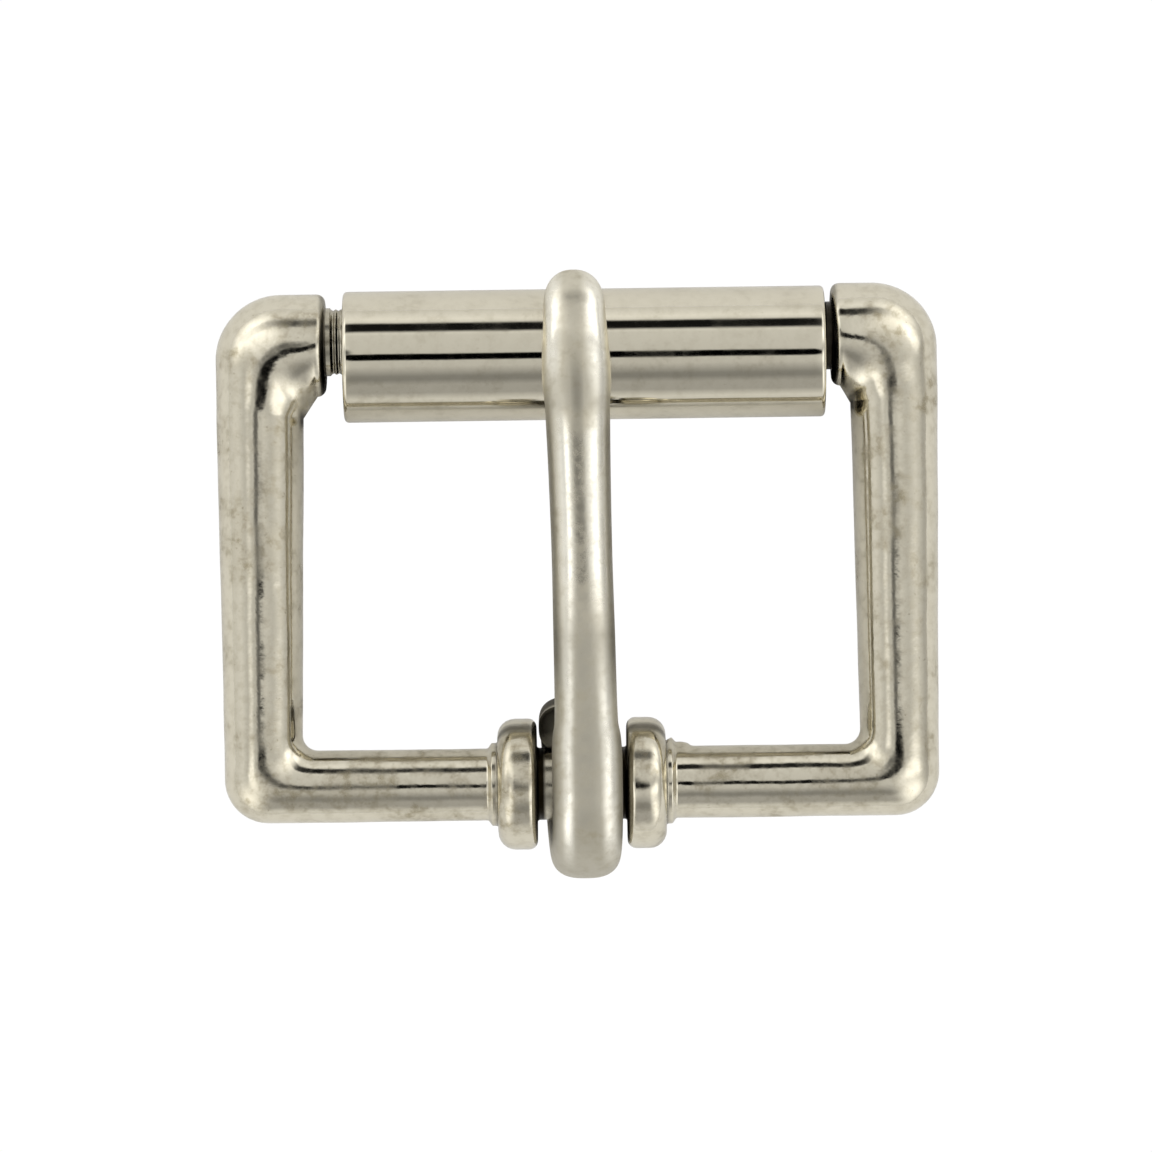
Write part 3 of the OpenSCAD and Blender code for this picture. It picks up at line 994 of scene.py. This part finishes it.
# %% Smooth curve through a table
def smooth_table(table, share):
    """Values of a table's columns at a place, on a curve with no overshoot between rows."""
    x = table[:, 0]
    step = np.diff(x)[:, None]
    rise = np.diff(table[:, 1:], axis=0) / step
    both = rise[:-1] * rise[1:]
    inner = np.where(both > 0, 2 * both / (rise[:-1] + rise[1:] + TINY), 0)
    slope = np.vstack([rise[:1], inner, rise[-1:]])
    i = int(np.clip(np.searchsorted(x, share, "right") - 1, 0, len(x) - 2))
    t = (share - x[i]) / step[i, 0]
    a, b = table[i, 1:], table[i + 1, 1:]
    p, q = slope[i] * step[i], slope[i + 1] * step[i]
    return a + t * (p + t * (3 * (b - a) - 2 * p - q + t * (p + q - 2 * (b - a))))


print("half way along the shank:", smooth_table(SHANK, 0.5).round(3))

# %% [markdown]
# ## Loop, shank and nose
#
# Two kinds of ring make the tongue. The loop's rings stand on an arc round the heel bar, from
# the cut end under the shank, round below and over the top. The shank's rings stand across a
# line to the roller, which sets its height, and end in the rounded nose. A curve with a bevel
# couldn't change its section on the way. Last, what reaches into the loop's bore is pushed
# out to its round wall, so that the tongue turns on the bar without touching it.

# %% Tongue section and loop
LOOP_LOW = 3 * QUARTER


def bar_section(x, centre, outward, width, thickness, squareness):
    """Superellipse across the tongue's bar, at a centre and with its outer face's direction."""
    across, out = np.cos(TURNS), np.sin(TURNS)
    reach = (abs(across / (width / 2)) ** squareness
             + abs(out / (thickness / 2)) ** squareness) ** (-1 / squareness)
    return np.stack([x + reach * across, centre[0] + reach * out * cos(outward),
                     centre[1] + reach * out * sin(outward)], -1)


def loop_ring(angle, inset=0.0):
    """A ring of the loop, which thins and shifts to the left towards its cut end."""
    past_low = ease(max(0, (angle - LOOP_LOW) / (CURL_END - LOOP_LOW)))
    past_top = ease((angle - QUARTER) / (CURL_END - QUARTER))
    outer = mix(LOOP_R, CURL_END_R, past_low)
    middle = (outer + LOOP_INNER_R) / 2
    return bar_section(LOOP_SLIDE - CURL_SHIFT * past_top,
                       (middle * cos(angle), middle * sin(angle)), angle,
                       LOOP_W - 2 * inset, outer - LOOP_INNER_R - 2 * inset, LOOP_SQUARE)


def loop_rings(steps=110, round_steps=6):
    """The loop's rings, from the rounded rim of its cut end to its top."""
    rings = []
    for turn in np.linspace(0, QUARTER, round_steps + 1)[:-1]:
        back = CURL_ROUND * (1 - cos(QUARTER - turn)) / CURL_END_R
        rings.append(loop_ring(CURL_END - back, CURL_ROUND * (1 - sin(turn))))
    start = CURL_END - CURL_ROUND / CURL_END_R
    return rings + [loop_ring(angle) for angle in np.linspace(start, QUARTER, steps)]


print("the loop has", len(loop_rings()), "rings")

# %% Shank and nose
LAST_RING = 0.9998


def shank_x(share):
    """Where the tongue's middle line is, which leans to the left towards the nose."""
    return LOOP_SLIDE - TONGUE_LEAN * share ** LEAN_POWER


def shank_ring(share):
    width, thickness, squareness = smooth_table(SHANK, share)
    nose = max(0, (share - NOSE_START) / (1 - NOSE_START))
    taper = max(0, 1 - nose ** NOSE_SHAPE) ** (1 / NOSE_SHAPE)
    past_drop = max(0, (share - NOSE_DROP_START) / (1 - NOSE_DROP_START))
    middle = mix((LOOP_R + LOOP_INNER_R) / 2, BEAR_Z, min(1, share / SHANK_LEVEL))
    middle -= TONGUE_T * NOSE_DROP * past_drop ** NOSE_DROP_POWER
    depth = mix(LOOP_R - LOOP_INNER_R, TONGUE_T * thickness, min(1, share / SHANK_START))
    return bar_section(shank_x(share), (TONGUE_REACH * share, middle), QUARTER,
                       LOOP_W * width * taper, depth * taper, squareness)


def shank_rings(steps=150, nose_steps=26):
    """Even rings up to the nose, and then closer ones towards its tip."""
    body = np.linspace(0, NOSE_START, steps)[1:]
    nose = NOSE_START + (1 - NOSE_START) * np.sin(np.linspace(0, QUARTER, nose_steps))[1:-1]
    return [shank_ring(share) for share in (*body, *nose, LAST_RING)]


print("the shank has", len(shank_rings()), "rings")

# %% Tongue mesh
def clear_bore(rings):
    """Pushes what reaches into the loop's bore out to its round wall."""
    rings = np.array(rings)
    radius = np.hypot(rings[..., 1], rings[..., 2])
    push = np.maximum(LOOP_BORE_R / np.maximum(radius, TINY), 1)
    rings[..., 1] *= push
    rings[..., 2] *= push
    return rings


prong = loft("tongue_prong", clear_bore(loop_rings() + shank_rings()))
prong.data.transform(Matrix.Translation(HEEL_AXIS))
shade(prong, forged_nickel, SHARP_ON_TONGUE)
print("tongue in mm:", [round(v / MM, 2) for v in prong.dimensions])

# %% [markdown]
# ## Satin and painted highlights on the tongue
#
# The tongue came out of the tumbling drum satin. Along two bands, one each side of its middle,
# which fade and return on the way to the nose, the strap has worn it smoother, and bright
# highlights are painted into its colour. A table says how matt the metal is and where the
# bands lie at each place along the tongue. A noise texture would put bright spots anywhere,
# and these have their own places.

# %% Places on the tongue
SATIN_SHANK = 0.3
SATIN_NOSE = 0.7
# place as a share of the reach, satin; then the two bands of painted highlight and wear: places
# across of the left and the right one as shares of half the width, half their width, strength
# of the left and the right
RUBBED_AND_HIGHLIT = np.array([
    (-0.16, 1.00, -0.55, 0.62, 0.24, 0.00, 0.00),
    (-0.10, 1.00, -0.55, 0.64, 0.22, 0.70, 0.70),
    (0.16, 1.00, -0.55, 0.62, 0.24, 0.75, 0.70),
    (0.22, 1.00, -0.54, 0.62, 0.26, 0.60, 0.30),
    (0.30, 1.00, -0.52, 0.60, 0.30, 0.35, 0.00),
    (0.42, SATIN_SHANK, -0.46, 0.48, 0.36, 0.90, 0.85),
    (0.68, SATIN_SHANK, -0.46, 0.48, 0.36, 0.90, 0.90),
    (0.74, 0.95, -0.60, 0.78, 0.26, 0.10, 0.30),
    (0.79, 0.95, -0.68, 0.62, 0.30, 0.25, 0.45),
    (0.83, SATIN_NOSE, -0.70, 0.62, 0.34, 0.75, 0.85),
    (0.93, SATIN_NOSE, -0.70, 0.64, 0.34, 0.75, 0.85),
    (1.00, SATIN_NOSE, -0.62, 0.58, 0.38, 0.40, 0.40),
])


def tongue_share(point):
    return (point.y - HEEL_AXIS.y) / TONGUE_REACH


def off_middle(point):
    """Distance from the tongue's middle line as a share of half its width there."""
    share = min(1, max(0, tongue_share(point)))
    width = LOOP_W * smooth_table(SHANK, share)[0] / 2
    return (point.x - shank_x(share)) / width


def rubbed_and_highlit(point):
    """One row of the table at a point's place along the tongue."""
    return [np.interp(tongue_share(point), RUBBED_AND_HIGHLIT[:, 0], column) for column in RUBBED_AND_HIGHLIT.T[1:]]


print("half way up the tongue, satin is", rubbed_and_highlit(HEEL_AXIS + Vector((0, TONGUE_REACH / 2, 0)))[0].round(2))

# %% Satin and painted highlights on the tongue
RIGHT_BAND_WIDER = 1.3
POLISH_HIGHLIGHT_FACES = (-0.4, 0)


def tongue_satin(point, normal):
    return rubbed_and_highlit(point)[0]


def tongue_polish_and_highlight(point, normal):
    """Painted highlight bands, where the strap also wears the metal smooth: the two shoulders of the loop,
    the shank and the nose.
    """
    left, right, half, left_strength, right_strength = rubbed_and_highlit(point)[1:]
    across = off_middle(point)
    band = max(left_strength * bump_share(across, left, half) ** 2,
               right_strength * bump_share(across, right, RIGHT_BAND_WIDER * half) ** 2)
    return band * step_share(normal.z, *POLISH_HIGHLIGHT_FACES)


paint(prong, "satin", tongue_satin)
paint(prong, "polish", tongue_polish_and_highlight)

# %% [markdown]
# ## Painted shade on the tongue
#
# Shade is painted on the loop in its bore, on the walls that face the stops and under its
# curled end. Along the shank the two flanks are painted darker, and a short streak of painted
# shade lies where the tongue bears on the roller. The loop's left side gets less painted shade,
# so its strengths have a value for each side.

# %% Painted shade on the loop
BORE_DARK_R, BORE_SOFT = LOOP_BORE_R + 0.25 * MM, 0.2 * MM
WALL_R, WALL_SOFT, WALL_FACES = STOP_R + 0.1 * MM, 0.5 * MM, (0.60, 0.90)
WALL_DARK = {LEFT: 0.15, RIGHT: 1.0}
SHOULDER_SOFT, SHOULDER_FACES = 0.8 * MM, (0.65, 0.95)
SHOULDER_DARK = {LEFT: 0.3, RIGHT: 0.45}
CURL_BEHIND = (0.6 * STOP_R, 0.8 * STOP_R)
CURL_TOP, CURL_SOFT = HEEL_AXIS.z + 1.3 * MM, 0.3 * MM
CURL_LEFT = (0.8 * MM, 1.2 * MM)
CURL_DARK = 0.85


def loop_painted_shade(point, normal):
    """Painted shade in the bore, on the walls beside the stops, on their shoulders and on the curl."""
    side = LEFT if normal.x < 0 else RIGHT
    behind = point.y - HEEL_AXIS.y
    from_heel = (behind ** 2 + (point.z - HEEL_AXIS.z) ** 2) ** 0.5
    bore = step_share(BORE_DARK_R - from_heel, 0, BORE_SOFT)
    wall = step_share(abs(normal.x), *WALL_FACES) * step_share(WALL_R - from_heel, 0, WALL_SOFT)
    shoulder = step_share(abs(normal.x), *SHOULDER_FACES) * step_share(
        STOP_R - abs(behind), 0, SHOULDER_SOFT)
    curl = step_share(behind, *CURL_BEHIND) * step_share(CURL_TOP - point.z, 0, CURL_SOFT) \
        * step_share(-point.x, *CURL_LEFT)
    return max(bore, wall * WALL_DARK[side], shoulder * SHOULDER_DARK[side], curl * CURL_DARK)


print(f"the bore is dark up to {BORE_DARK_R / MM:.2f} mm from the bar's axis")

# %% Painted shade on the shank
FLANK_FROM, FLANK_TO, FLANK_FADE = 0.16, 0.78, 0.1
FLANK_ACROSS, FLANK_FACES, FLANK_DARK = (0.70, 0.90), (-0.6, 0.1), 0.52
STREAK_AT, STREAK_HALF, STREAK_W, STREAK_DARK = 0.76, 0.10, 0.2, 0.4


def shank_painted_shade(point, normal):
    """Painted shade on both flanks, with a streak on top where the tongue bears on the roller."""
    share, across = tongue_share(point), off_middle(point)
    along = step_share(share - FLANK_FROM, 0, FLANK_FADE) * step_share(FLANK_TO - share, 0, FLANK_FADE)
    flank = along * step_share(abs(across), *FLANK_ACROSS) * step_share(normal.z, *FLANK_FACES)
    streak = bump_share(share, STREAK_AT, STREAK_HALF) * bump_share(across, 0, STREAK_W)
    return max(flank * FLANK_DARK, streak * STREAK_DARK * (normal.z > 0))


def tongue_painted_shade(point, normal):
    return max(loop_painted_shade(point, normal), shank_painted_shade(point, normal))


paint(prong, "recess", tongue_painted_shade)

# %% [markdown]
# ## Each piece on its body
#
# The dressed pieces stand for the plain solids, and ride on the same bodies, so the roller
# still turns and the tongue still swings.

# %% Ride and replace
for piece, node, finish in ((casting, "frame", "cast_nickel"), (sleeve, "roller", "sheet_nickel"),
                            (prong, "tongue", "forged_nickel")):
    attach(piece, node)
    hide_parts(node)
    print(piece.name, "rides on", node)

# %% [markdown]
# ## The floor
#
# The buckle lies on white paper that the camera sees as pure white, as a cut-out photograph
# has it. A white cloth or a bright lamp would burn out the metal's highlights too. So the
# camera's own rays meet a glowing white, and all other light meets plain matt paper.

# %% Floor
FLOOR_HALF = 1.5
PAPER = (0.93, 0.93, 0.93, 1)
WHITE = (1, 1, 1, 1)
WHITE_GLOW = 1.02


def paper():
    material = bpy.data.materials.new("white_paper")
    tree = emptied(material)
    matt = tree.add("ShaderNodeBsdfDiffuse", {}, {"Color": PAPER})
    white = tree.add("ShaderNodeEmission", {}, {"Color": WHITE, "Strength": WHITE_GLOW})
    both = tree.add("ShaderNodeMixShader", {}, {0: tree.add("ShaderNodeLightPath"), 1: matt, 2: white})
    tree.node("ShaderNodeOutputMaterial", {}, {"Surface": both})
    return material


sheet = bpy.data.meshes.new("floor")
corners = [(x * FLOOR_HALF, y * FLOOR_HALF, 0) for x, y in ((-1, -1), (1, -1), (1, 1), (-1, 1))]
sheet.from_pydata(corners, [], [(0, 1, 2, 3)])
sheet.materials.append(paper())
floor = placed("floor", sheet)
print("floor:", [round(v, 2) for v in floor.dimensions], "metres")

# %% [markdown]
# ## The studio
#
# Polished nickel shows the room more than itself. The studio is a bright tent: soft light
# from all sides, a dark gap between the overhead panel and the wall behind the roller, and
# the dark round of the lens straight above. Those two dark shapes draw the thin black lines
# that make round metal read as round. Lamps and panels could be built as objects, but a sky
# that says how bright each direction is takes less, and reaches every piece alike.

# %% Light levels
PLATE_LEVEL = 0.66


def glow(level):
    """Light that makes nickel show an 8-bit grey level, by the usual curve of screens."""
    share = level / 255
    return (((share + 0.055) / 1.055) ** 2.4 if share > 0.04 else share / 12.92) / PLATE_LEVEL


# degrees from straight up and a grey level, from the heel bar's side to the roller's
STUDIO_ALONG = ((-90, 190), (-80, 196), (-66, 152), (-50, 152), (-40, 122), (-34, 124), (-16, 178),
                (0, 182), (38, 190), (43, 200), (47.5, 20), (60, 15), (64, 205), (70, 217), (90, 192))
# the same from left to right
STUDIO_ACROSS = ((-90, 190), (-60, 200), (-35, 165), (-12, 178), (12, 178), (30, 174), (54, 200),
                 (80, 160), (90, 165))
BRIGHTEST = max(glow(level) for _, level in STUDIO_ALONG + STUDIO_ACROSS)
print(f"the brightest direction gives {BRIGHTEST:.2f}")

# %% Sky shapes
# degrees from straight up towards the right and towards the roller, half length and half
# width in degrees, turn of the long side, soft share of the edge, strength
CAMERA_SHAPE = (-1.5, 0.0, 13.0, 5.6, 3.0, 0.25, 1.0)
ARM_SHAPE = (-11.0, 9.0, 6.0, 5.0, 20.0, 0.6, 0.8)
LEFT_LAMP = (-32.0, -8.0, 13.0, 9.0, 90.0, 0.5, 0.9)
RIGHT_LAMP = (38.0, -8.0, 20.0, 9.0, 0.0, 0.5, 0.9)
LEFT_NOSE_LAMP = (-60.0, 20.0, 12.0, 9.0, 0.0, 0.5, 0.6)
RIGHT_NOSE_LAMP = (57.0, 20.0, 14.0, 9.0, 0.0, 0.5, 0.75)
LAMPS = (LEFT_LAMP, RIGHT_LAMP, LEFT_NOSE_LAMP, RIGHT_NOSE_LAMP)


def sky_band(tree, side, up, stops):
    """Light by the angle from straight up towards one side."""
    share = side.maths("ARCTAN2", up) / pi + 0.5
    marks = [((angle + 90) / 180, glow(level) / BRIGHTEST) for angle, level in stops]
    return tree.add("ShaderNodeValToRGB", {"stops": marks}, {"Fac": share}) * BRIGHTEST


def sky_shape(tree, direction, right, ahead, half_long, half_short, turn, soft, strength):
    """An ellipse of light or darkness in the sky, as a share from 0 to its strength."""
    middle = Vector((sin(radians(right)), sin(radians(ahead)), 0))
    middle.z = (1 - middle.length_squared) ** 0.5
    long_side = Vector((cos(radians(turn)), -sin(radians(turn)), 0))
    long_side = (long_side - middle * long_side.dot(middle)).normalized()

    def towards(axis):
        sockets = {0: direction, 1: axis}
        return tree.add("ShaderNodeVectorMath", {"operation": "DOT_PRODUCT"}, sockets, output=1)

    along = towards(long_side) / sin(radians(half_long))
    beside = towards(middle.cross(long_side)) / sin(radians(half_short))
    inside = tree.soft_step((along * along + beside * beside).maths("SQRT"), 1 + soft, 1 - soft)
    return inside * towards(middle).maths("GREATER_THAN", 0) * strength


print("shapes in the sky:", 2 + len(LAMPS))

# %% Studio light
SOFTBOX = 1.1
CORNER_POWER = 4
NO_SIDE = 0.0001


def studio():
    """A tent of light with a softbox in each corner, the lamps, and the camera's dark shapes."""
    world = bpy.data.worlds.new("studio")
    bpy.context.scene.world = world
    tree = emptied(world)
    direction = tree.add("ShaderNodeTexCoord")
    split = tree.node("ShaderNodeSeparateXYZ", {}, {"Vector": direction})
    x, y, z = (Term(tree, split.outputs[i]) for i in range(3))
    flat = x * x + y * y + NO_SIDE
    across = x * x / flat
    tent = sky_band(tree, y, z, STUDIO_ALONG) * (1 - across) + sky_band(tree, x, z, STUDIO_ACROSS) * across
    diagonal = (x * y).maths("ABSOLUTE") * 2 / flat
    height = z.maths("MAXIMUM", 0)
    half_way_up = height * (1 - height) / 0.25
    lit = sum((sky_shape(tree, direction, *lamp) for lamp in LAMPS),
              tent + diagonal ** CORNER_POWER * half_way_up * SOFTBOX)
    for dark in (CAMERA_SHAPE, ARM_SHAPE):
        lit = lit * (1 - sky_shape(tree, direction, *dark))
    seen = tree.add("ShaderNodeLightPath")
    back = tree.add("ShaderNodeBackground", {}, {"Color": WHITE, "Strength": seen + lit * (1 - seen)})
    tree.node("ShaderNodeOutputWorld", {}, {"Surface": back})
    return len(world.node_tree.nodes)


print("the sky has", studio(), "nodes")

# %% [markdown]
# ## The camera
#
# The photograph looks almost straight down, leaning a little towards the roller. A distance
# of 30 cm gives its slight perspective. Two measures in it fix the framing: the pixel where
# the heel bar's middle lies, and how many millimetres a pixel takes.

# %% Camera
IMAGE_SIDE = 1152
MM_PER_PIXEL = 0.0457
HEEL_AT = (582.1, 783.8)
ROLL = radians(0.78)
LEAN = radians(2.9)
CAMERA_DISTANCE = 300 * MM
SENSOR = 36.0
CLIP_START = 10 * MM


def place_camera():
    centre = IMAGE_SIDE / 2
    right = (HEEL_AT[0] - centre) * MM_PER_PIXEL * MM
    up = (centre - HEEL_AT[1]) * MM_PER_PIXEL * MM
    aim = HEEL_AXIS - Vector((right * cos(ROLL) + up * sin(ROLL), up * cos(ROLL) - right * sin(ROLL), 0))
    data = bpy.data.cameras.new("camera")
    data.sensor_width = SENSOR
    data.lens = SENSOR * CAMERA_DISTANCE / (IMAGE_SIDE * MM_PER_PIXEL * MM)
    data.clip_start = CLIP_START
    camera = placed("camera", data)
    camera.location = aim + Vector((0, sin(LEAN), cos(LEAN))) * CAMERA_DISTANCE
    camera.rotation_euler = (Matrix.Rotation(-LEAN, 3, "X") @ Matrix.Rotation(-ROLL, 3, "Z")).to_euler()
    bpy.context.scene.camera = camera
    return camera


camera = place_camera()
scene = bpy.context.scene
scene.view_settings.view_transform = "Standard"
print(f"focal length {camera.data.lens:.0f} mm")

# %% [markdown]
